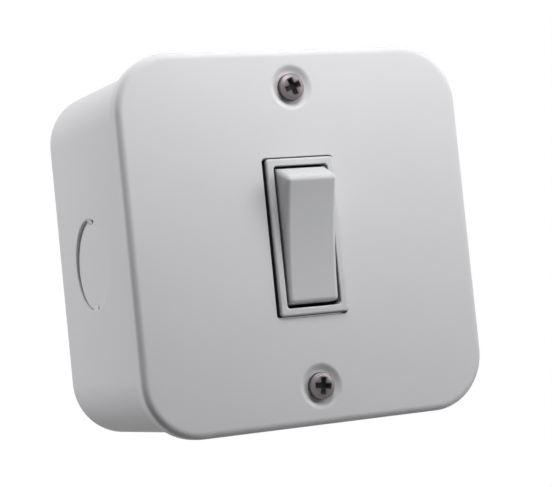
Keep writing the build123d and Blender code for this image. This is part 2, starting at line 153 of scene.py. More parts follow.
def quarter(radius, steps):
    """Quarter round, from its side to its top: distances in from the side and down from the top."""
    angles = [math.pi / 2 * step / steps for step in range(steps + 1)]
    return [(radius * (1 - math.cos(angle)), radius * (1 - math.sin(angle))) for angle in angles]


def arc(x, z, radius, start, sweep, steps):
    """Points (x, z) along an arc, from an angle and through a sweep in degrees."""
    points = []
    for step in range(steps + 1):
        angle = math.radians(start + sweep * step / steps)
        points.append((x + radius * math.cos(angle), z + radius * math.sin(angle)))
    return points


def outline(width, height, corner):
    """Points (x, z) of a rounded rectangle, anticlockwise seen from the front."""
    x = width / 2 - corner
    z = height / 2 - corner
    points = []
    for side, up, start in ((1, -1, -90), (1, 1, 0), (-1, 1, 90), (-1, -1, 180)):
        points += arc(side * x, up * z, corner, start, 90, CORNER_STEPS)
    return points


def slotted(reach, width, x):
    """Points (x, z) of a slot with round ends, anticlockwise seen from the front."""
    points = []
    for side, start in ((1, -90), (-1, 90)):
        points += arc(x + side * (reach - width) / 2, 0.0, width / 2, start, 180, 2 * CORNER_STEPS)
    return points


def ring(bm, points, forward):
    """Loop of vertices at a forward distance."""
    return [bm.verts.new((x, -forward, z)) for x, z in points]


def bridge(bm, first, second, skip=()):
    """Join two loops of the same length with quads, but for the runs to skip."""
    count = len(first)
    for i in range(count):
        if i not in skip:
            after = (i + 1) % count
            bm.faces.new((first[i], first[after], second[after], second[i]))


def bridge_all(bm, loops):
    """Join each loop to the next."""
    for first, second in zip(loops, loops[1:]):
        bridge(bm, first, second)


def bordered(bm, hole, border):
    """Flat border round a hole; gives the outer loop, for the plate that it lies in."""
    bridge(bm, hole, border)
    return border


def fill_plate(bm, loops, axes):
    """Fill the flat plate between its outer loop and the holes in it; axes are the two it lies along."""
    verts = [vert for loop in loops for vert in loop]
    places = [Vector((vert.co[axes[0]], vert.co[axes[1]])) for vert in verts]
    borders = []
    count = 0
    for loop in loops:
        borders.append(list(range(count, count + len(loop))))
        count += len(loop)
    with_holes = 2
    nearness = 1e-8
    cut = delaunay_2d_cdt(places, [], borders, with_holes, nearness)
    for corners in cut[2]:
        bm.faces.new([verts[cut[3][i][0]] for i in corners])


def turned(bm, start, along, profile, segments=48, capped=True):
    """Turned shape: profile is (radius, distance along the axis); capped fills its open ends."""
    along = Vector(along).normalized()
    side = along.orthogonal().normalized()
    up = along.cross(side)
    spokes = []
    for i in range(segments):
        angle = 2 * math.pi * i / segments
        spokes.append(side * math.cos(angle) + up * math.sin(angle))
    rings = []
    for radius, distance in profile:
        middle = Vector(start) + along * distance
        rings.append([bm.verts.new(middle + radius * spoke) for spoke in spokes])
    bridge_all(bm, rings)
    if capped:
        bm.faces.new(rings[0])
        bm.faces.new(rings[-1])
    return rings


def smooth_outwards(bm):
    """Make all faces smooth and turn them outwards."""
    bmesh.ops.recalc_face_normals(bm, faces=bm.faces)
    for face in bm.faces:
        face.smooth = True


def link_mesh(name, bm):
    """Object from a bmesh."""
    smooth_outwards(bm)
    mesh = bpy.data.meshes.new(name)
    bm.to_mesh(mesh)
    bm.free()
    piece = bpy.data.objects.new(name, mesh)
    bpy.context.collection.objects.link(piece)
    return piece


def join_to(piece, bm, move=None):
    """Add a bmesh to a piece, and then move the whole."""
    smooth_outwards(bm)
    bm.from_mesh(piece.data)
    if move:
        bm.transform(move)
    bm.to_mesh(piece.data)
    bm.free()


def settle(piece):
    """Turn a piece's modifiers into plain mesh."""
    graph = bpy.context.evaluated_depsgraph_get()
    mesh = bpy.data.meshes.new_from_object(piece.evaluated_get(graph))
    piece.modifiers.clear()
    piece.data = mesh
    mesh.name = piece.name


def grow(name, tree, values):
    """Run a geometry tree with its named inputs and keep the result as a plain mesh."""
    piece = bpy.data.objects.new(name, bpy.data.meshes.new(name))
    bpy.context.collection.objects.link(piece)
    shape = piece.modifiers.new("Shape", "NODES")
    shape.node_group = tree
    for item in tree.interface.items_tree:
        if item.item_type == "SOCKET" and item.in_out == "INPUT":
            shape[item.identifier] = values[item.name]
    settle(piece)
    return piece


def thicken(piece, thickness):
    """Give a sheet its thickness, inwards from its outer face."""
    wall = piece.modifiers.new("Sheet", "SOLIDIFY")
    wall.thickness = thickness
    wall.offset = -1.0
    wall.use_even_offset = True
    settle(piece)


def soften(piece, width, segments=2, by_weight=False):
    """Round a piece's sharp edges, or those with a weight."""
    edge = piece.modifiers.new("Soft Edges", "BEVEL")
    edge.width = width
    edge.segments = segments
    edge.limit_method = "WEIGHT" if by_weight else "ANGLE"
    edge.angle_limit = math.radians(40)
    edge.miter_outer = "MITER_ARC"
    edge.use_clamp_overlap = not by_weight


def hand_over(piece, material, body, slot, *nodes):
    """Give a finished piece its material and body, and hide the CAD nodes that it stands for; slot is not
    used.
    """
    settle(piece)
    bm = bmesh.new()
    bm.from_mesh(piece.data)
    sliver = 0.000002
    bmesh.ops.dissolve_degenerate(bm, dist=sliver, edges=bm.edges)
    bm.to_mesh(piece.data)
    bm.free()
    flat = piece.modifiers.new("Flat Faces", "WEIGHTED_NORMAL")
    flat.keep_sharp = True
    piece.data.materials.clear()
    piece.data.materials.append(material)
    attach(piece, body)
    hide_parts(*nodes)


def shader_group(name, inputs, **outputs):
    """Shader node group."""
    return new_group(name, "ShaderNodeTree", inputs, outputs)


def surface_grain(name):
    """Shared shader group: two sizes of soft bumps, as in cured paint or a spark-eroded mould."""
    inputs = {"Coarse Scale": 700.0, "Fine Scale": 3000.0, "Fine Share": 0.3}
    group, given, result = shader_group(name, inputs, Height=FLOAT, Tone=FLOAT)
    coarse = noise(group, given["Coarse Scale"], detail=2.0, roughness=0.45)
    fine = noise(group, given["Fine Scale"], detail=3.0, roughness=0.6)
    height = out(group, "ShaderNodeMix", {"Factor": given["Fine Share"], "A": coarse, "B": fine})
    group.links.new(height, result["Height"])
    slow_scale = 45.0
    group.links.new(noise(group, slow_scale, detail=3.0), result["Tone"])
    return group


def tone_drift(name):
    """Shared shader group: a colour that drifts a little lighter and darker with a mask."""
    inputs = {"Color": (0.8, 0.8, 0.8, 1.0), "Mask": 0.5, "Amount": 0.04}
    group, given, result = shader_group(name, inputs, Color="NodeSocketColor")
    centred = maths(group, "SUBTRACT", given["Mask"], 0.5)
    swing = maths(group, "MULTIPLY_ADD", centred, given["Amount"], 1.0)
    tone = out(group, "ShaderNodeVectorMath", {0: given["Color"], "Scale": swing}, operation="SCALE")
    group.links.new(tone, result["Color"])
    return group


def edge_wear(name):
    """Shared shader group: a mask along sharp edges, broken up by noise, as where a finish is rubbed."""
    group, given, result = shader_group(name, {"Radius": 0.0004, "Breakup": 260.0}, Mask=FLOAT)
    rounded = out(group, "ShaderNodeBevel", {"Radius": given["Radius"]}, samples=6)
    true = add(group, "ShaderNodeNewGeometry").outputs["Normal"]
    both = {0: rounded, 1: true}
    meet = add(group, "ShaderNodeVectorMath", both, operation="DOT_PRODUCT").outputs["Value"]
    nearly_flat, sharp = 0.995, 0.85
    thin, full = 0.38, 0.62
    patchy = ranged(group, noise(group, given["Breakup"], detail=4.0), thin, full)
    group.links.new(times(group, ranged(group, meet, nearly_flat, sharp), patchy), result["Mask"])
    return group


def settled_dust(name):
    """Shared shader group: a mask in corners and gaps, for painted shade there and for the dust that stays
    after a wipe.
    """
    group, given, result = shader_group(name, {"Reach": 0.002}, Mask=FLOAT)
    # Ambient occlusion marks where corners and gaps close in, so the colour there is painted shade, with
    # some dust.
    closed = add(group, "ShaderNodeAmbientOcclusion", {"Distance": given["Reach"]}, samples=6).outputs["AO"]
    open_share, corner_share = 0.75, 0.25
    group.links.new(ranged(group, closed, open_share, corner_share), result["Mask"])
    return group


def placed(tree, build, **values):
    """Outputs of a shared group in a material, built at its first use and named after its builder.

    values are named as the group's inputs, with _ for a space.
    """
    name = build.__name__.replace("_", " ").title()
    group = bpy.data.node_groups.get(name) or build(name)
    inputs = {key.replace("_", " "): value for key, value in values.items()}
    return add(tree, "ShaderNodeGroup", inputs, node_tree=group).outputs


def mixed(tree, factor, first, second):
    """Colour between two, by a mask."""
    return add(tree, "ShaderNodeMix", {0: factor, 6: first, 7: second}, data_type="RGBA").outputs[2]


def new_material(name):
    """Empty node material with one Principled shader."""
    material = bpy.data.materials.new(name)
    material.use_nodes = True
    return material, material.node_tree, material.node_tree.nodes["Principled BSDF"].inputs


def finish(name, colour, gloss, bump, grain, share=0.3, drift=0.05, sheen=0.3, rubbed=None, dust_and_shade=None):
    """Grained finish: tone drift, uneven gloss, a fine bump, rubbed edges, and dust with painted shade in
    its corners.

    gloss is the roughness and its swing, grain the coarse and the fine scale, and share the fine grain's
    part of the bump; rubbed and dust_and_shade are (colour, reach, amount), the second a colour painted
    into corners and gaps as shade, with some dust.
    """
    material, tree, shader = new_material(name)
    coarse, fine = grain
    bumps = placed(tree, surface_grain, Coarse_Scale=coarse, Fine_Scale=fine, Fine_Share=share)
    tone = placed(tree, tone_drift, Color=(*colour, 1.0), Mask=bumps["Tone"], Amount=drift)["Color"]
    # The second mark darkens corners and gaps by ambient occlusion: painted shade, with some dust.
    for mark, build, size in ((rubbed, edge_wear, "Radius"), (dust_and_shade, settled_dust, "Reach")):
        if mark:
            shade, reach, amount = mark
            mask = placed(tree, build, **{size: reach})["Mask"]
            tone = mixed(tree, times(tree, mask, amount), tone, (*shade, 1.0))
    rough, swing = gloss
    uneven = ranged(tree, bumps["Height"], 0.0, 1.0, rough - swing, rough + swing)
    relief = {"Height": bumps["Height"], "Strength": 1.0, "Distance": bump}
    tree.links.new(tone, shader["Base Color"])
    tree.links.new(uneven, shader["Roughness"])
    tree.links.new(out(tree, "ShaderNodeBump", relief), shader["Normal"])
    shader["Specular IOR Level"].default_value = sheen
    return material


def metal(name, colour, gloss=(0.34, 0.08), worn=(0.7, 0.68, 0.66)):
    """Plated or turned metal: tarnish, fine scratches, bright rubbed edges, and grime with painted shade in
    its corners.
    """
    material = finish(
        name,
        colour,
        gloss,
        bump=0.000004,
        grain=(900.0, 6000.0),
        share=0.5,
        drift=0.3,
        sheen=0.5,
        rubbed=(worn, 0.0002, 0.5),
        # Near-black in corners and gaps: painted shade, with some grime.
        dust_and_shade=((0.05, 0.045, 0.04), 0.001, 0.6),
    )
    material.node_tree.nodes["Principled BSDF"].inputs["Metallic"].default_value = 1.0
    return material


def begrime(material, shade_and_dirt):
    """Darken and dull a finish where its mesh is marked, as painted shade with some grime; gives that mark.
    """
    tree = material.node_tree
    shader = tree.nodes["Principled BSDF"].inputs
    marked = add(tree, "ShaderNodeAttribute", attribute_name="grime").outputs["Fac"]
    colour, rough = [shader[name].links[0].from_socket for name in ("Base Color", "Roughness")]
    dull = 0.85
    # The marked colour is painted shade, with some grime.
    tree.links.new(mixed(tree, marked, colour, (*shade_and_dirt, 1.0)), shader["Base Color"])
    duller = out(tree, "ShaderNodeMix", {"Factor": marked, "A": rough, "B": dull})
    tree.links.new(duller, shader["Roughness"])
    return marked


def screw_metal(name, colour):
    """Nickel plate, painted near-black where the mesh is marked: painted shade under the head and in the
    recess, with old dirt and paint dust.
    """
    material = metal(name, colour, gloss=(0.42, 0.1), worn=(0.42, 0.4, 0.39))
    tree = material.node_tree
    # Near-black and not metallic where marked: painted shade, with some dirt.
    unmarked = maths(tree, "SUBTRACT", 1.0, begrime(material, (0.012, 0.011, 0.01)))
    tree.links.new(unmarked, tree.nodes["Principled BSDF"].inputs["Metallic"])
    return material


def geometry_tree(name, inputs):
    """Geometry node group that takes a finish and gives geometry."""
    inputs = {**inputs, "Finish": "NodeSocketMaterial"}
    return new_group(name, "GeometryNodeTree", inputs, {"Geometry": "NodeSocketGeometry"})


def completed(tree, geometry, given, result):
    """End a geometry tree with real geometry in the finish that it is given."""
    real = out(tree, "GeometryNodeRealizeInstances", {"Geometry": geometry})
    dressed = out(tree, "GeometryNodeSetMaterial", {"Geometry": real, "Material": given["Finish"]})
    tree.links.new(dressed, result["Geometry"])
    return tree


def round_path(tree, steps, radius):
    """Closed circle."""
    return out(tree, "GeometryNodeCurvePrimitiveCircle", {"Resolution": steps, "Radius": radius})


def flat_normals(tree, path):
    """A path with its curve normals in the plane of the face, outwards."""
    return out(tree, "GeometryNodeSetCurveNormal", {"Curve": path}, mode="Z_UP")


def rounded_path(tree, width, height, corner):
    """Closed rounded rectangle, its curve normals outwards."""
    square = out(tree, "GeometryNodeCurvePrimitiveQuadrilateral", {"Width": width, "Height": height})
    rounding = {"Curve": square, "Count": CORNER_STEPS, "Radius": corner}
    return flat_normals(tree, out(tree, "GeometryNodeFilletCurve", rounding, mode="POLY"))


def profile_curve(tree, count, x, y):
    """Curve of a number of points, each placed by fields that read its index."""
    line = out(tree, "GeometryNodeCurvePrimitiveLine")
    points = out(tree, "GeometryNodeResampleCurve", {"Curve": line, "Count": count})
    place = out(tree, "ShaderNodeCombineXYZ", {"X": x, "Y": y})
    return out(tree, "GeometryNodeSetPosition", {"Geometry": points, "Position": place})


def swept(tree, path, profile):
    """Mesh of a profile carried along a path; profile x is outwards and y is away from the face."""
    return out(tree, "GeometryNodeCurveToMesh", {"Curve": path, "Profile Curve": profile})


def widened(tree, path, distance):
    """A path moved outwards, point by point, as a sweep along it does."""
    normal = add(tree, "GeometryNodeInputNormal").outputs["Normal"]
    offset = out(tree, "ShaderNodeVectorMath", {0: normal, "Scale": distance}, operation="SCALE")
    return out(tree, "GeometryNodeSetPosition", {"Geometry": path, "Offset": offset})


def shifted(tree, geometry, x=0.0, y=0.0):
    """Geometry moved in the plane of the face."""
    offset = out(tree, "ShaderNodeCombineXYZ", {"X": x, "Y": y})
    return out(tree, "GeometryNodeTransform", {"Geometry": geometry, "Translation": offset})


def joined(tree, *parts):
    """Several geometries as one."""
    made = add(tree, "GeometryNodeJoinGeometry")
    for part in parts:
        tree.links.new(part, made.inputs[0])
    return made.outputs[0]


def pressed_cover_tree():
    """Geometry tree for the outer skin of a pan-shaped cover with two screw dimples and a cut-out.

    It is drawn in the plane of its face, x across and y up, and turned to look forward at the end.
    """
    lengths = (
        "Size", "Corner", "Bend", "Bend Depth", "Flange", "Face", "Dimple Spacing", "Dimple Mouth",
        "Dimple Run", "Dimple Depth", "Screw Hole", "Opening Width", "Opening Height", "Opening Corner",
        "Opening Shift", "Opening Rise", "Flat Border",
    )
    group, given, result = geometry_tree("Pressed Cover", dict.fromkeys(lengths, 0.0))
    index = out(group, "GeometryNodeInputIndex")
    border = times(group, given["Flat Border"], -1.0)
    first = maths(group, "LESS_THAN", index, 0.5)

    # Points of this profile: the end of the flange, the bend, and a flat border inside it
    bend_steps = 12
    angle = ranged(group, index, 1.0, bend_steps + 1.0, to_high=math.pi / 2)
    inwards = maths(group, "SUBTRACT", maths(group, "COSINE", angle), 1.0)
    back = maths(group, "SUBTRACT", 1.0, maths(group, "SINE", angle))
    last = maths(group, "GREATER_THAN", index, bend_steps + 1.5)
    across = maths(group, "ADD", times(group, inwards, given["Bend"]), times(group, last, border))
    flange = times(group, first, given["Flange"])
    deep = maths(group, "MAXIMUM", times(group, back, given["Bend Depth"]), flange)
    bend_profile = profile_curve(group, bend_steps + 3, across, deep)
    edge = rounded_path(group, given["Size"], given["Size"], given["Corner"])
    face_edge = widened(group, edge, maths(group, "SUBTRACT", border, given["Bend"]))

    # Points of this profile: a flat border outside the mouth, the slope, and the edge of the hole
    dimple_steps = 20
    run = ranged(group, index, 1.0, dimple_steps + 1.0, to_high=given["Dimple Run"])
    last = maths(group, "GREATER_THAN", index, dimple_steps + 1.5)
    to_hole = maths(group, "SUBTRACT", given["Dimple Mouth"], given["Screw Hole"])
    reach = maths(group, "MAXIMUM", run, times(group, last, to_hole))
    reach = maths(group, "ADD", reach, times(group, first, border))
    depth = ranged(group, index, 1.0, dimple_steps + 1.0, to_high=given["Dimple Depth"], soft=True)
    dimple_profile = profile_curve(group, dimple_steps + 3, times(group, reach, -1.0), depth)
    mouth = flat_normals(group, round_path(group, ROUND_STEPS, given["Dimple Mouth"]))
    dimple = swept(group, mouth, dimple_profile)
    rise = times(group, given["Dimple Spacing"], 0.5)
    drop = times(group, given["Dimple Spacing"], -0.5)
    brim = widened(group, mouth, given["Flat Border"])

    opening = rounded_path(group, given["Opening Width"], given["Opening Height"], given["Opening Corner"])
    place = (given["Opening Shift"], given["Opening Rise"])
    flat = profile_curve(group, 2, times(group, first, given["Flat Border"]), 0.0)
    borders = joined(
        group,
        face_edge,
        shifted(group, brim, y=rise),
        shifted(group, brim, y=drop),
        shifted(group, widened(group, opening, given["Flat Border"]), *place),
    )
    skin = joined(
        group,
        swept(group, edge, bend_profile),
        shifted(group, dimple, y=rise),
        shifted(group, dimple, y=drop),
        shifted(group, swept(group, opening, flat), *place),
        out(group, "GeometryNodeFillCurve", {"Curve": borders}, mode="TRIANGLES"),
    )
    seam = 0.00001
    welded = out(group, "GeometryNodeMergeByDistance", {"Geometry": skin, "Distance": seam})
    forward = out(group, "ShaderNodeCombineXYZ", {"Y": times(group, given["Face"], -1.0)})
    stand = {"Geometry": welded, "Translation": forward, "Rotation": (math.pi / 2, 0.0, 0.0)}
    return completed(group, out(group, "GeometryNodeTransform", stand), given, result)


def screw_row_tree():
    """Geometry tree for a row of like screws, each turned a little further than the one before."""
    inputs = {"Screw": "NodeSocketObject", "Count": 2, "First": VECTOR, "Step": VECTOR}
    group, given, result = geometry_tree("Screw Row", {**inputs, "Turn": 0.0, "Turn Step": 0.0})
    row = {"Count": given["Count"], "Start Location": given["First"], "Offset": given["Step"]}
    places = out(group, "GeometryNodeMeshLine", row)
    model = add(group, "GeometryNodeObjectInfo", {"Object": given["Screw"]}).outputs["Geometry"]
    index = out(group, "GeometryNodeInputIndex")
    turn = maths(group, "MULTIPLY_ADD", index, given["Turn Step"], given["Turn"])
    about = out(group, "ShaderNodeCombineXYZ", {"Y": turn})
    copies = {"Points": places, "Instance": model, "Rotation": about}
    return completed(group, out(group, "GeometryNodeInstanceOnPoints", copies), given, result)


def coil_spring_tree():
    """Geometry tree for a compression spring of round wire, wound up from its foot."""
    inputs = dict.fromkeys(("Wire Radius", "Coil Radius", "Height", "Turns"), 0.0)
    group, given, result = geometry_tree("Coil Spring", {**inputs, "Foot": VECTOR, "Lean": VECTOR})
    winding = {
        "Resolution": CORNER_STEPS,
        "Rotations": given["Turns"],
        "Start Radius": given["Coil Radius"],
        "End Radius": given["Coil Radius"],
        "Height": given["Height"],
    }
    path = out(group, "GeometryNodeCurveSpiral", winding)
    wire_sides = 12
    wire = round_path(group, wire_sides, given["Wire Radius"])
    coil = out(group, "GeometryNodeCurveToMesh", {"Curve": path, "Profile Curve": wire, "Fill Caps": True})
    seat = {"Geometry": coil, "Translation": given["Foot"], "Rotation": given["Lean"]}
    return completed(group, out(group, "GeometryNodeTransform", seat), given, result)


def length(label, words, default):
    """Length property in metres."""
    return bpy.props.FloatProperty(
        name=label, description=words, default=default, unit="LENGTH", precision=5
    )


def tint(label, words, default):
    """Colour property."""
    return bpy.props.FloatVectorProperty(
        name=label, description=words, default=default, subtype="COLOR", size=3, min=0.0, max=1.0
    )


def slope(label, words, degrees):
    """Angle property, given in degrees."""
    turn = math.radians(degrees)
    return bpy.props.FloatProperty(name=label, description=words, default=turn, subtype="ANGLE")


class SWITCH_PG_shell(bpy.types.PropertyGroup):
    """Sizes and colour of the box and the cover"""

    paint: tint("Paint", "Colour of the powder coat on the box and the cover", (0.727, 0.724, 0.744))
    sheet: length("Sheet", "Thickness of the steel", 0.0012)
    paint_round: length("Paint Round", "How far the paint rounds a cut edge", 0.00022)
    cover_corner: length("Cover Corner", "Corner radius of the cover", 0.0164)
    cover_bend: length("Cover Bend", "How far from the edge the bend round the face starts", 0.0021)
    cover_drop: length("Cover Drop", "How far back the bend round the face goes", 0.0017)
    dimple_mouth: length("Dimple Mouth", "Radius at which a screw dimple leaves the face", 0.0066)
    dimple_run: length("Dimple Run", "How far a dimple slopes from its mouth to its floor", 0.0025)
    screw_hole: length("Screw Hole", "Radius of the hole for a cover screw", 0.0021)
    opening_width: length("Opening Width", "Width of the cut-out for the switch", 0.0218)
    opening_height: length("Opening Height", "Height of the cut-out for the switch", 0.0445)
    opening_corner: length("Opening Corner", "Corner radius of the cut-out", 0.001)
    opening_shift: length("Opening Shift", "How far the cut-out sits off centre, to the right", -0.0004)
    opening_rise: length("Opening Rise", "How far the cut-out sits off centre, upwards", -0.0001)
    box_corner: length("Box Corner", "Corner radius of the box", 0.0158)
    box_back: length("Box Back Round", "Radius between the walls and the back of the box", 0.003)
    knockout: length("Knock-out", "Radius of a conduit knock-out", 0.013)
    knockout_push: length("Knock-out Push", "How far a knock-out disc is pushed in", 0.00075)
    knockout_lean: slope("Knock-out Lean", "How far a knock-out disc leans in at one end", 1.3)
    knockout_out: length("Knock-out Place", "Distance of a side knock-out from the wall", 0.029)
    knockout_drop: length("Knock-out Drop", "How far a side knock-out lies below the middle", 0.0015)
    back_drop: length("Back Knock-out Drop", "How far the back knock-out lies below the middle", 0.022)
    tie_width: length("Tie Width", "Width of the tie that holds a knock-out", 0.0036)
    tie_length: length("Tie Length", "How far a tie reaches over the disc", 0.0016)
    slot_pitch: length("Slot Pitch", "Distance between the wall fixing slots", 0.06)
    slot_length: length("Slot Length", "Length of a wall fixing slot", 0.009)
    slot_width: length("Slot Width", "Width of a wall fixing slot", 0.005)


class SWITCH_PG_screws(bpy.types.PropertyGroup):
    """Sizes and colour of the cover screws"""

    plate: tint("Plate", "Colour of the plated screw heads", (0.16, 0.142, 0.147))
    head_radius: length("Head Radius", "Radius of a cover screw's head", 0.0038)
    head_height: length("Head Height", "Height of a cover screw's head", 0.0021)
    head_round: length("Head Round", "Radius of the edge of the head", 0.0006)
    shank_radius: length("Shank Radius", "Radius over the thread", 0.00175)
    shank_length: length("Shank Length", "Length under the head", 0.016)
    pitch: length("Thread Pitch", "Distance between two threads", 0.0006)
    recess_span: length("Recess Span", "Distance across the cross recess", 0.0048)
    recess_bar: length("Recess Bar", "Width of a bar of the cross recess", 0.0015)
    recess_depth: length("Recess Depth", "Depth of the cross recess", 0.0014)
    turn: slope("Turn", "How far the first screw is turned", -20.0)
    turn_step: slope("Turn Step", "How much further the next screw is turned", 28.0)


class SWITCH_PG_switch(bpy.types.PropertyGroup):
    """Sizes and colour of the rocker, its frame and its spring"""

    moulding: tint("Moulding", "Colour of the rocker and the frame round it", (0.64, 0.643, 0.658))
    frame_width: length("Frame Width", "Width of the frame that shows round the rocker", 0.0208)
    frame_height: length("Frame Height", "Height of the frame that shows round the rocker", 0.0436)
    frame_side: length("Frame Side", "Width of the frame at its sides", 0.0021)
    frame_end: length("Frame End", "Width of the frame at its ends", 0.00205)
    frame_round: length("Frame Round", "Radius of the frame's outer edge", 0.0006)
    frame_lip: length("Frame Lip", "Radius of the edge of the frame's window", 0.00035)
    flange_front: length("Flange Front", "Forward distance of the flange behind the yoke", 0.0617)
    flange_back: length("Flange Back", "Forward distance of the back of that flange", 0.0597)
    ledge: length("Ledge", "How far a ledge closes each end of the window", 0.005)
    ledge_thick: length("Ledge Thickness", "Thickness of a ledge", 0.001)
    pivot: length("Pivot", "Forward distance of the rocker's pivot", 0.0624)
    tilt: slope("Tilt", "How far the top of the rocker stands forward at rest", 10.5)
    rocker_width: length("Rocker Width", "Width of the rocker at its base", 0.0155)
    rocker_length: length("Rocker Length", "Length of the rocker at its base", 0.0384)
    rocker_rim: length("Rocker Rim", "Height of the rocker's ends over the pivot", 0.0073)
    rocker_dish: length("Rocker Dish", "Depth of the hollow in the rocker's face", 0.00127)
    rocker_round: length("Rocker Round", "Radius of the rocker's edges", 0.0013)
    rocker_wall: length("Rocker Wall", "Thickness of the rocker's wall", 0.0015)
    shoulder: length("Shoulder", "Height over the pivot at which the rocker's draft starts", 0.0005)
    skirt: length("Skirt", "How far the rocker goes behind the pivot", 0.001)
    end_draft: slope("End Draft", "Slope of the rocker's ends", 13.4)
    side_draft: slope("Side Draft", "Slope of the rocker's sides", 1.0)
    trunnion: length("Trunnion", "Radius of a trunnion", 0.0015)
    trunnion_reach: length("Trunnion Reach", "Distance of a trunnion's tip from the middle", 0.00975)
    boss_radius: length("Boss Radius", "Radius of the boss for the plunger", 0.0031)
    bore_radius: length("Bore Radius", "Radius of the bore for the plunger", 0.00195)
    boss_reach: length("Boss Reach", "How far the boss goes behind the pivot", 0.003)
    spring_wire: length("Spring Wire", "Thickness of the wire of the plunger's spring", 0.0004)
    spring_coil: length("Spring Coil", "Mean radius of the spring's turns", 0.0014)
    spring_length: length("Spring Length", "Length of the spring at rest", 0.00473)
    spring_turns: bpy.props.IntProperty(name="Spring Turns", description="Turns of the spring", default=5)


class SWITCH_PG_stage(bpy.types.PropertyGroup):
    """Floor and camera"""

    floor_drop: length("Floor Drop", "How far the floor lies below the box", 0.25)
    lens: bpy.props.FloatProperty(
        name="Lens",
        description="Focal length of the camera on a 36 mm sensor",
        subtype="DISTANCE_CAMERA",
        default=120.118,
    )


def dress(node, material):
    """Give a CAD node its finish."""
    mesh = frame["nodes"][node].data
    mesh.materials.clear()
    mesh.materials.append(material)


def box_walls(shell):
    """Middle, across, up and outwards for each wall with a knock-out, the back last."""
    half = BOX_HIGH.x
    y = -shell.knockout_out
    z = -shell.knockout_drop
    rows = (
        ((half, y, z), (0, 1, 0), (1, 0, 0)),
        ((0, y, half), (0, 1, 0), (0, 0, 1)),
        ((-half, y, z), (0, -1, 0), (-1, 0, 0)),
        ((0, y, -half), (0, 1, 0), (0, 0, -1)),
        ((0, 0, -shell.back_drop), (1, 0, 0), (0, 1, 0)),
    )
    walls = []
    for middle, across, outwards in rows:
        across = Vector(across)
        outwards = Vector(outwards)
        walls.append((Vector(middle), across, outwards.cross(across), outwards))
    return walls


def circle(bm, wall, radius, rise):
    """Loop of vertices on a wall; rise gives the height over the wall from the place up it."""
    middle, across, up, outwards = wall
    loop = []
    for i in range(ROUND_STEPS):
        angle = 2 * math.pi * i / ROUND_STEPS
        v = radius * math.sin(angle)
        loop.append(bm.verts.new(middle + across * radius * math.cos(angle) + up * v + outwards * rise(v)))
    return loop


def box_skin(shell):
    """Outer skin of the drawn box, open at the front, with its knock-outs and fixing slots cut out."""
    bm = bmesh.new()
    size = 2 * BOX_HIGH.x
    rim = -BOX_LOW.y
    border = 0.0008
    rivet_hole = 0.00152
    back_steps = 8
    rows = [(rim, 0.0), (rim - 2 * border, 0.0)]
    rows += [(down, inset) for inset, down in quarter(shell.box_back, back_steps)]
    rings = []
    for forward, inset in rows:
        across = size - 2 * inset
        rings.append(ring(bm, outline(across, across, shell.box_corner - inset), forward))
    straights = [CORNER_STEPS + (CORNER_STEPS + 1) * side for side in range(4)]
    bridge(bm, rings[1], rings[2], straights)
    bridge_all(bm, rings[:2])
    bridge_all(bm, rings[2:])
    walls = box_walls(shell)
    count = len(rings[0])

    def round_hole(wall, radius):
        loops = [circle(bm, wall, reach, lambda v: 0.0) for reach in (radius, radius + border)]
        return bordered(bm, *loops)

    for run, wall, axes in zip(straights, walls, ((1, 2), (0, 1), (1, 2), (0, 1))):
        after = (run + 1) % count
        panel = [rings[1][run], rings[1][after], rings[2][after], rings[2][run]]
        fill_plate(bm, [panel, round_hole(wall, shell.knockout)], axes)
    holes = [round_hole(walls[-1], shell.knockout)]
    for x in (-shell.slot_pitch / 2, shell.slot_pitch / 2):
        loops = []
        for extra in (0.0, 2 * border):
            points = slotted(shell.slot_length + extra, shell.slot_width + extra, x)
            loops.append(ring(bm, points, 0.0))
        holes.append(bordered(bm, *loops))
    rivet_low, rivet_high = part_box("earth_rivet")
    middle = (rivet_low + rivet_high) / 2
    rivet_wall = (Vector((middle.x, 0, middle.z)), *walls[-1][1:])
    holes.append(round_hole(rivet_wall, rivet_hole))
    fill_plate(bm, [rings[-1], *holes], (0, 2))
    return link_mesh("painted_box", bm)


def add_knockouts(piece, shell):
    """Add the half-sheared discs and the ties that hold them."""
    bm = bmesh.new()
    lean = math.tan(shell.knockout_lean)
    shear_gap = 0.00002
    tie_root = 0.0003
    for wall in box_walls(shell):
        middle, across, up, outwards = wall
        top, under = [
            circle(bm, wall, shell.knockout - shear_gap, lambda v: -shell.knockout_push - v * lean - down)
            for down in (0.0, shell.sheet)
        ]
        bridge(bm, top, under)
        bm.faces.new(top)
        bm.faces.new(under)
        for side in (-1, 1):
            outer = side * (shell.knockout + tie_root)
            inner = side * (shell.knockout - shell.tie_length)
            bottom = -shell.knockout_push - inner * lean
            corners = ((outer, 0.0), (inner, bottom), (outer, bottom))
            ends = []
            for u in (-shell.tie_width / 2, shell.tie_width / 2):
                ends.append([bm.verts.new(middle + across * u + up * v + outwards * w) for v, w in corners])
                bm.faces.new(ends[-1])
            bridge(bm, *ends)
    join_to(piece, bm)


def screw_seat(screws):
    """Forward distance of the seat under a cover screw's head, and the height of the upper screw."""
    return -SCREWS_LOW.y - screws.head_height, SCREWS_HIGH.z - screws.head_radius


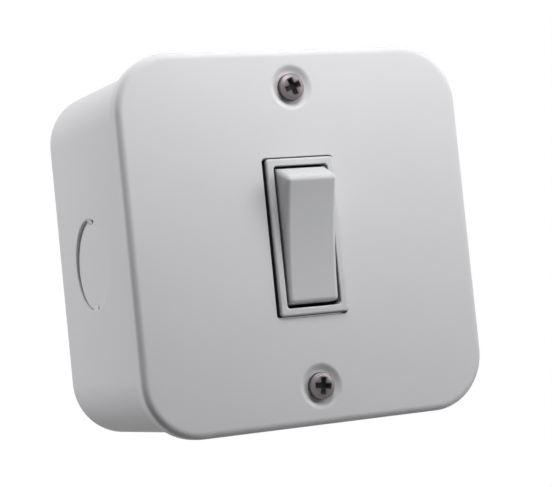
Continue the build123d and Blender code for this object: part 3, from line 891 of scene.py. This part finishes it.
def cover_skin(shell, paint):
    """Outer skin of the cover, from its geometry tree, facing outwards."""
    seat, high = screw_seat(bpy.context.scene.switch_screws)
    flat_border = 0.0003
    values = {
        "Size": COVER_HIGH.x - COVER_LOW.x,
        "Corner": shell.cover_corner,
        "Bend": shell.cover_bend,
        "Bend Depth": shell.cover_drop,
        "Flange": COVER_HIGH.y - COVER_LOW.y,
        "Face": FACE,
        "Dimple Spacing": 2 * high,
        "Dimple Depth": FACE - seat,
        "Flat Border": flat_border,
        "Finish": paint,
    }
    same_names = (
        "dimple_mouth", "dimple_run", "screw_hole", "opening_width", "opening_height", "opening_corner",
        "opening_shift", "opening_rise",
    )
    for name in same_names:
        values[name.replace("_", " ").title()] = getattr(shell, name)
    piece = grow("painted_cover", pressed_cover_tree(), values)
    bm = bmesh.new()
    bm.from_mesh(piece.data)
    smooth_outwards(bm)
    largest = max(bm.faces, key=lambda face: face.calc_area())
    if largest.normal.y > 0:
        bmesh.ops.reverse_faces(bm, faces=bm.faces)
    bm.to_mesh(piece.data)
    bm.free()
    return piece


class SWITCH_OT_shell(bpy.types.Operator):
    """Press the box and the cover and powder coat them"""

    bl_idname = "switch.shell"
    bl_label = "Powder-Coated Shell"

    def execute(self, context):
        shell = context.scene.switch_shell
        paint = finish(
            "powder_coat",
            shell.paint,
            gloss=(0.5, 0.05),
            bump=0.00002,
            grain=(900.0, 4000.0),
            sheen=0.08,
            rubbed=((0.8, 0.8, 0.8), 0.0003, 0.35),
            # Grey in corners and gaps: painted shade, with some dust.
            dust_and_shade=((0.3, 0.29, 0.28), 0.0015, 0.5),
        )
        box = box_skin(shell)
        thicken(box, shell.sheet)
        add_knockouts(box, shell)
        soften(box, shell.paint_round)
        hand_over(box, paint, "housing", "powder_coat", "surface_box")
        cover = cover_skin(shell, paint)
        thicken(cover, shell.sheet)
        soften(cover, shell.paint_round)
        hand_over(cover, paint, "housing", "powder_coat", "cover_plate")
        return {"FINISHED"}


def cross_outline(bar, span, blend):
    """Points (x, z) of a cross with its inner corners blended, anticlockwise."""
    middle = bar / 2 + blend
    blend_steps = 4
    arm = [(span / 2, -bar / 2), (span / 2, bar / 2), *arc(middle, middle, blend, 270, -90, blend_steps)]
    points = []
    for side in range(4):
        turn = Matrix.Rotation(math.pi / 2 * side, 2)
        points += [tuple(turn @ Vector(point)) for point in arm]
    return points


def cut_thread(bm, screws):
    """Shank with a thread that fades out under the head and towards a narrower tip."""
    columns = 24
    steps_a_turn = 4
    root = 0.86
    fade_in, fade_out = 6, 10
    tip, tip_rows = 0.7, 12
    count = int(screws.shank_length / screws.pitch * steps_a_turn)
    loops = []
    for row in range(count + 1):
        fade = min(1.0, row / fade_in, (count - row) / fade_out)
        taper = min(1.0, tip + (count - row) / tip_rows)
        loop = []
        for column in range(columns):
            angle = 2 * math.pi * column / columns
            phase = (row / steps_a_turn - column / columns) % 1.0
            ridge = 1 - abs(2 * phase - 1)
            reach = screws.shank_radius * (root + (1 - root) * ridge * fade) * taper
            place = (reach * math.cos(angle), row / count * screws.shank_length, reach * math.sin(angle))
            loop.append(bm.verts.new(place))
        loops.append(loop)
    bridge_all(bm, loops)
    bm.faces.new(loops[0])
    bm.faces.new(loops[-1])


def cross_screw(screws):
    """One pan-head screw with a cross recess and a cut thread, its seat at the origin, looking forward."""
    bm = bmesh.new()
    grime = bm.verts.layers.float.new("grime")
    radius = screws.head_radius
    height = screws.head_height
    chamfer = 0.0001
    crown = 0.0003
    flattened = 0.8
    land = 0.0004
    round_steps = 6
    rows = [(screws.shank_radius, 0.0), (radius - chamfer, 0.0), (radius, chamfer)]
    for inset, down in quarter(screws.head_round, round_steps):
        rows.append((radius - inset, height - crown - down * flattened))
    inner = screws.recess_span / 2 + land
    rows.append(((radius + inner) / 2 - crown, height - crown / 2))
    rows.append((inner, height - crown / 6))
    rings = turned(bm, (0, 0, 0), (0, -1, 0), rows, segments=64, capped=False)
    bar = screws.recess_bar
    span = screws.recess_span
    floor = height - screws.recess_depth
    worn, worn_depth = 0.00008, 0.00012
    draft = math.radians(8)
    narrow = 2 * screws.recess_depth * math.tan(draft)
    mouth_blend, lip_blend, floor_blend = 0.00025, 0.00022, 0.00015
    mouth = ring(bm, cross_outline(bar, span, mouth_blend), height)
    lip = ring(bm, cross_outline(bar - worn, span - worn, lip_blend), height - worn_depth)
    bottom = ring(bm, cross_outline(bar - narrow, span - 3 * narrow, floor_blend), floor)
    fill_plate(bm, [rings[-1], mouth], (0, 2))
    bridge_all(bm, [mouth, lip, bottom])
    bm.faces.new(bottom)
    # Marks for painted shade with some grime: the head's underside and lower wall, where the gap to the
    # dimple lies in shadow, and the cross recess.
    for shade_and_dirt, verts in ((0.9, sum(rings[:3], [])), (0.55, mouth), (1.0, lip + bottom)):
        for vert in verts:
            vert[grime] = shade_and_dirt
    cut_thread(bm, screws)
    bm.faces.new(rings[0])
    return link_mesh("cross_screw", bm)


class SWITCH_OT_screws(bpy.types.Operator):
    """Drive the two cover screws"""

    bl_idname = "switch.screws"
    bl_label = "Cover Screws"

    def execute(self, context):
        screws = context.scene.switch_screws
        model = cross_screw(screws)
        plated = screw_metal("screw_nickel", screws.plate)
        seat, high = screw_seat(screws)
        values = {
            "Screw": model,
            "Count": 2,
            "First": (0.0, -seat, high),
            "Step": (0.0, 0.0, -2 * high),
            "Turn": screws.turn,
            "Turn Step": screws.turn_step,
            "Finish": plated,
        }
        pair = grow("cover_screw_pair", screw_row_tree(), values)
        bpy.data.objects.remove(model)
        hand_over(pair, plated, "housing", "screw_nickel", "cover_screws")
        return {"FINISHED"}


def surround(switch):
    """Frame round the rocker: border, window with its ledges, flange and spigot, as one closed ring.

    Each row is a width, a height, a corner radius, a forward distance and how much painted shade, with some
    grime, lies there.
    """
    bm = bmesh.new()
    grime = bm.verts.layers.float.new("grime")
    front = -FRAME_LOW.y
    back = -FRAME_HIGH.y
    corner = 0.001
    flange_corner = 0.0015
    seam_back, seam_front = FACE - 0.0004, FACE + 0.0001
    # The window's walls darken from here inwards: painted shade, with some grime.
    unshaded_end, shaded_end = FACE - 0.0008, FACE - 0.0028
    ledge_inset = 0.0003
    corner_loss = 0.9
    round_steps, lip_steps = 8, 6
    body = (switch.frame_width, switch.frame_height, corner)
    flange = (FRAME_HIGH.x - FRAME_LOW.x, FRAME_HIGH.z - FRAME_LOW.z, flange_corner)
    wide = switch.frame_width - 2 * switch.frame_side
    high = switch.frame_height - 2 * switch.frame_end
    window = (wide, high, corner)
    opening = (wide - ledge_inset, high - 2 * switch.ledge, corner)
    ledge_front = back + switch.ledge_thick
    rows = [
        (*body, back, 0.3),
        (*body, switch.flange_back, 0.3),
        (*flange, switch.flange_back, 0.3),
        (*flange, switch.flange_front, 0.6),
        (*body, switch.flange_front, 1.0),
        (*body, seam_back, 1.0),
        (*body, seam_front, 0.0),
    ]
    for inset, down in quarter(switch.frame_round, round_steps):
        width, height = body[0] - 2 * inset, body[1] - 2 * inset
        rows.append((width, height, corner - corner_loss * inset, front - down, 0.0))
    for inset, down in quarter(switch.frame_lip, lip_steps):
        rows.append((wide + 2 * down, high + 2 * down, corner, front - inset, 0.0))
    rows += [
        (*window, unshaded_end, 0.0),
        (*window, shaded_end, 0.9),
        (*window, ledge_front, 1.0),
        (*opening, ledge_front, 1.0),
        (*opening, back, 0.3),
    ]
    rings = []
    for *shape, forward, shade_and_dirt in rows:
        rings.append(ring(bm, outline(*shape), forward))
        for vert in rings[-1]:
            vert[grime] = shade_and_dirt
    bridge_all(bm, rings + rings[:1])
    return link_mesh("rocker_surround", bm)


def bored(piece, bore):
    """Cut a bore out of a piece."""
    cut = piece.modifiers.new("Bore", "BOOLEAN")
    cut.operation = "DIFFERENCE"
    cut.solver = "EXACT"
    cut.object = bore
    settle(piece)
    bpy.data.objects.remove(bore)


def moulded(switch):
    """White moulding, shared by the rocker and the frame round it, with painted shade in its corners and
    gaps and where its mesh is marked.
    """
    name = "rocker_moulding"
    if name in bpy.data.materials:
        return bpy.data.materials[name]
    material = finish(
        name,
        switch.moulding,
        gloss=(0.36, 0.04),
        bump=0.000006,
        grain=(1500.0, 6000.0),
        sheen=0.25,
        rubbed=((0.82, 0.82, 0.82), 0.0002, 0.3),
        # Dark in corners and gaps: painted shade, with some dust.
        dust_and_shade=((0.1, 0.095, 0.09), 0.0016, 0.65),
    )
    # Near-black where the frame's mesh is marked deep in the window: painted shade, with some grime.
    begrime(material, (0.03, 0.028, 0.026))
    return material


class SWITCH_OT_surround(bpy.types.Operator):
    """Mould the frame round the rocker"""

    bl_idname = "switch.surround"
    bl_label = "Rocker Surround"

    def execute(self, context):
        switch = context.scene.switch_switch
        piece = surround(switch)
        end_play, running_fit = 0.0001, 0.00005
        edge_round = 0.00012
        reach = switch.trunnion_reach + end_play
        radius = switch.trunnion + running_fit
        bm = bmesh.new()
        turned(bm, (-reach, -switch.pivot, 0), (1, 0, 0), [(radius, 0), (radius, 2 * reach)])
        bored(piece, link_mesh("bearing", bm))
        soften(piece, edge_round)
        hand_over(piece, moulded(switch), "housing", "white_moulding", "switch_frame")
        return {"FINISHED"}


def rocker_skin(switch):
    """Outer skin of the rocker, level about its pivot: dished face, drafted walls, open behind."""
    bm = bmesh.new()
    weight = bm.edges.layers.float.new("bevel_weight_edge")
    dish_steps = 16
    half = switch.rocker_width / 2
    base = switch.rocker_length / 2
    top = base - (switch.rocker_rim - switch.shoulder) * math.tan(switch.end_draft)
    middle = switch.rocker_rim - switch.rocker_dish
    radius = (top * top + switch.rocker_dish**2) / (2 * switch.rocker_dish)
    shares = [2 * step / dish_steps - 1 for step in range(dish_steps + 1)]
    left = []
    right = []
    for side, column in ((-1, left), (1, right)):
        for share in shares:
            level = middle + radius - math.sqrt(radius * radius - (share * top) ** 2)
            inset = (level - switch.shoulder) * math.tan(switch.side_draft)
            column.append(bm.verts.new((side * (half - inset), -level, share * top)))
    for step in range(dish_steps):
        bm.faces.new((left[step], right[step], right[step + 1], left[step + 1]))
    rim = left[:1] + right + left[:0:-1]
    wall = [(-half, -base)] + [(half, share * base) for share in shares]
    wall += [(-half, share * base) for share in shares[:0:-1]]
    shoulder, skirt = [ring(bm, wall, level) for level in (switch.shoulder, -switch.skirt)]
    bridge_all(bm, [rim, shoulder, skirt])
    corners = (left[0], right[0], right[-1], left[-1])
    for place, vert in enumerate(rim):
        bm.edges.get((rim[place - 1], vert))[weight] = 1.0
        if vert in corners:
            bm.edges.get((vert, shoulder[place]))[weight] = 1.0
    return link_mesh("rocker_paddle", bm)


class SWITCH_OT_rocker(bpy.types.Operator):
    """Mould the rocker with its trunnions and boss and tip it to its rest"""

    bl_idname = "switch.rocker"
    bl_label = "Rocker"

    def execute(self, context):
        switch = context.scene.switch_switch
        round_steps = 5
        chamfer = 0.0002
        boss_sink, bore_roof = 0.0003, 0.0016
        edge_round = 0.00015
        piece = rocker_skin(switch)
        thicken(piece, switch.rocker_wall)
        soften(piece, switch.rocker_round, round_steps, by_weight=True)
        settle(piece)
        bm = bmesh.new()
        inside = switch.rocker_width / 2 - switch.rocker_wall
        radius = switch.trunnion
        tip = switch.trunnion_reach - inside
        for side in (-1, 1):
            rows = [(radius, 0), (radius, tip - chamfer), (radius - chamfer, tip)]
            turned(bm, (side * inside, 0, 0), (side, 0, 0), rows)
        high = switch.rocker_rim - switch.rocker_dish - boss_sink + switch.boss_reach
        rows = [(switch.bore_radius, high - bore_roof), (switch.bore_radius, 0)]
        rows += [(switch.boss_radius, 0), (switch.boss_radius, high)]
        turned(bm, (0, switch.boss_reach, 0), (0, -1, 0), rows)
        rest = Matrix.Translation((0, -switch.pivot, 0)) @ Matrix.Rotation(switch.tilt, 4, "X")
        join_to(piece, bm, rest)
        soften(piece, edge_round)
        hand_over(piece, moulded(switch), "rocker", "white_moulding", "rocker")
        return {"FINISHED"}


class SWITCH_OT_spring(bpy.types.Operator):
    """Wind the spring behind the plunger, at its length at rest"""

    bl_idname = "switch.spring"
    bl_label = "Plunger Spring"

    def execute(self, context):
        switch = context.scene.switch_switch
        joints = {joint["name"]: joint for joint in frame["record"]["behaviour"]["joints"]}
        slide = joints["plunger_slide"]
        along = Vector(slide["axis"])
        pocket = Vector(slide["deforming_nodes"][0]["fixed_end_m"])
        steel = metal("spring_steel", (0.42, 0.42, 0.44))
        values = {
            "Wire Radius": switch.spring_wire / 2,
            "Coil Radius": switch.spring_coil,
            "Height": switch.spring_length - switch.spring_wire,
            "Turns": float(switch.spring_turns),
            "Foot": pocket + along * switch.spring_wire / 2,
            "Lean": (switch.tilt - math.pi / 2, 0.0, 0.0),
            "Finish": steel,
        }
        coil = grow("plunger_coil", coil_spring_tree(), values)
        hand_over(coil, steel, "rocker", "spring_steel", "plunger_spring")
        settle(coil)
        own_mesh(coil)
        return {"FINISHED"}


class SWITCH_OT_inside(bpy.types.Operator):
    """Finish the moulded and metal pieces inside the box"""

    bl_idname = "switch.inside"
    bl_label = "Inside Pieces"

    def execute(self, context):
        bump, grain = 0.00001, (1200.0, 5000.0)
        dress("switch_base", finish("base_moulding", (0.55, 0.55, 0.53), (0.5, 0.05), bump, grain))
        dress("plunger", finish("nylon", (0.72, 0.70, 0.62), (0.45, 0.05), bump, grain))
        zinc = metal("zinc_steel", (0.55, 0.56, 0.58))
        brass = metal("brass", (0.72, 0.52, 0.22), worn=(0.85, 0.66, 0.34))
        silver = metal("silver", (0.80, 0.79, 0.76))
        nickel = metal("nickel", (0.50, 0.47, 0.46))
        for material, nodes in (
            (zinc, ("screw_lug_top", "screw_lug_bottom", "mounting_yoke")),
            (brass, ("contact_arm", "line_terminal", "common_terminal", "earth_terminal")),
            (silver, ("moving_contact", "fixed_contact")),
            (nickel, ("terminal_screws", "earth_screws", "earth_rivet")),
        ):
            for node in nodes:
                dress(node, material)
        return {"FINISHED"}


def soft_box(name, place, size, power, mirrored):
    """Square area lamp aimed at the face. One that isn't mirrored leaves no glare on the paint."""
    face = Vector((0.0, -0.05, 0.0))
    lamp = bpy.data.lights.new(name, "AREA")
    lamp.shape = "SQUARE"
    lamp.size = size
    lamp.energy = power
    holder = bpy.data.objects.new(name, lamp)
    holder.visible_glossy = mirrored
    holder.location = place
    holder.rotation_euler = (face - Vector(place)).to_track_quat("-Z", "Y").to_euler()
    bpy.context.collection.objects.link(holder)


def seen_directly(tree):
    """1 where the camera, a reflection or glass looks at a surface, 0 for the light that it bounces."""
    path = add(tree, "ShaderNodeLightPath").outputs
    seen = maths(tree, "MAXIMUM", path["Is Camera Ray"], path["Is Glossy Ray"])
    return maths(tree, "MAXIMUM", seen, path["Is Transmission Ray"])


def white_room(fill):
    """World that looks white and gives a weak even fill."""
    world = bpy.data.worlds.new("white_room")
    world.use_nodes = True
    tree = world.node_tree
    tree.nodes.clear()
    dim, bright = [
        out(tree, "ShaderNodeBackground", {"Color": (1.0, 1.0, 1.0, 1.0), "Strength": strength})
        for strength in (fill, 1.0)
    ]
    mix = out(tree, "ShaderNodeMixShader", {0: seen_directly(tree), 1: dim, 2: bright})
    add(tree, "ShaderNodeOutputWorld", {"Surface": mix})
    bpy.context.scene.world = world


def pale_floor(low):
    """Wide floor, white far off and a little darker near the part, so that it keeps the shadow."""
    reach = 6.0
    mesh = bpy.data.meshes.new("floor")
    corners = [(-reach, -reach, low), (reach, -reach, low), (reach, reach, low), (-reach, reach, low)]
    mesh.from_pydata(corners, [], [(0, 1, 2, 3)])
    floor = bpy.data.objects.new("floor", mesh)
    bpy.context.collection.objects.link(floor)
    material, tree, shader = new_material("pale_floor")
    shader["Base Color"].default_value = (0.4, 0.4, 0.4, 1.0)
    shader["Roughness"].default_value = 0.9
    glow = out(tree, "ShaderNodeEmission", {"Color": (1.0, 1.0, 1.0, 1.0), "Strength": 1.0})
    place = add(tree, "ShaderNodeTexCoord").outputs["Object"]
    away = add(tree, "ShaderNodeVectorMath", {0: place}, operation="LENGTH").outputs["Value"]
    near, far = 0.3, 1.4
    near_white = 0.72
    share = times(tree, seen_directly(tree), ranged(tree, away, near, far, near_white, soft=True))
    lit = tree.nodes["Principled BSDF"].outputs[0]
    mix = out(tree, "ShaderNodeMixShader", {0: share, 1: lit, 2: glow})
    tree.links.new(mix, tree.nodes["Material Output"].inputs["Surface"])
    mesh.materials.append(material)


def photo_camera(lens):
    """Camera at the photograph's viewpoint, a little below the middle of the face and rolled with it."""
    forward = Vector((0.42662, 0.90304, 0.05007))
    right = Vector((0.90170, -0.42039, -0.10099))
    up = right.cross(forward)
    place = Vector((-0.225896, -0.523061, -0.026876))
    turn = Matrix((right, up, -forward)).transposed().to_4x4()
    data = bpy.data.cameras.new("photo_camera")
    data.lens = lens
    data.sensor_width = 36.0
    data.clip_start = 0.01
    camera = bpy.data.objects.new("photo_camera", data)
    camera.matrix_world = Matrix.Translation(place) @ turn
    bpy.context.collection.objects.link(camera)
    bpy.context.scene.camera = camera


class SWITCH_OT_stage(bpy.types.Operator):
    """Build the floor, the lamps, the white room and the camera"""

    bl_idname = "switch.stage"
    bl_label = "Stage"

    def execute(self, context):
        settings = context.scene.switch_stage
        pale_floor(CAD_BOX[0].z - settings.floor_drop)
        # Name, place and size in metres, power in watts, and whether the paint mirrors it
        for lamp in (
            ("front_box", (0.308, -0.358, 0.202), 0.24, 0.82, True),
            ("top_box", (0.0, -0.188, 0.197), 0.13, 0.405, True),
            ("left_box", (-0.471, 0.222, 0.254), 0.4, 2.5, False),
            ("right_bounce", (0.512, -0.345, 0.104), 0.4, 0.75, True),
            ("back_bounce", (0.15, 0.62, 0.12), 0.4, 1.6, False),
        ):
            soft_box(*lamp)
        white_room(fill=0.02)
        photo_camera(settings.lens)
        context.scene.view_settings.view_transform = "Standard"
        return {"FINISHED"}


class SWITCH_PT_panel(bpy.types.Panel):
    """Sizes and colours of the switch, and the steps that dress it"""

    bl_idname = "SWITCH_PT_panel"
    bl_label = "Rocker Switch"
    bl_space_type = "VIEW_3D"
    bl_region_type = "UI"
    bl_category = "Switch"

    def draw(self, context):
        layout = self.layout
        for group in SETTINGS:
            settings = getattr(context.scene, group)
            for key in settings.__annotations__:
                layout.prop(settings, key)
        for step in STEPS:
            layout.operator(step.bl_idname)


STEPS = (
    SWITCH_OT_shell,
    SWITCH_OT_screws,
    SWITCH_OT_surround,
    SWITCH_OT_rocker,
    SWITCH_OT_spring,
    SWITCH_OT_inside,
    SWITCH_OT_stage,
)
SETTINGS = {
    "switch_shell": SWITCH_PG_shell,
    "switch_screws": SWITCH_PG_screws,
    "switch_switch": SWITCH_PG_switch,
    "switch_stage": SWITCH_PG_stage,
}


def register():
    for cls in (*SETTINGS.values(), *STEPS, SWITCH_PT_panel):
        bpy.utils.register_class(cls)
    for name, cls in SETTINGS.items():
        setattr(bpy.types.Scene, name, bpy.props.PointerProperty(type=cls))


def unregister():
    for name in SETTINGS:
        delattr(bpy.types.Scene, name)
    for cls in reversed((*SETTINGS.values(), *STEPS, SWITCH_PT_panel)):
        bpy.utils.unregister_class(cls)


def main():
    register()
    bpy.ops.switch.shell()
    bpy.ops.switch.screws()
    bpy.ops.switch.surround()
    bpy.ops.switch.rocker()
    bpy.ops.switch.spring()
    bpy.ops.switch.inside()
    bpy.ops.switch.stage()


if __name__ == "__main__":
    main()
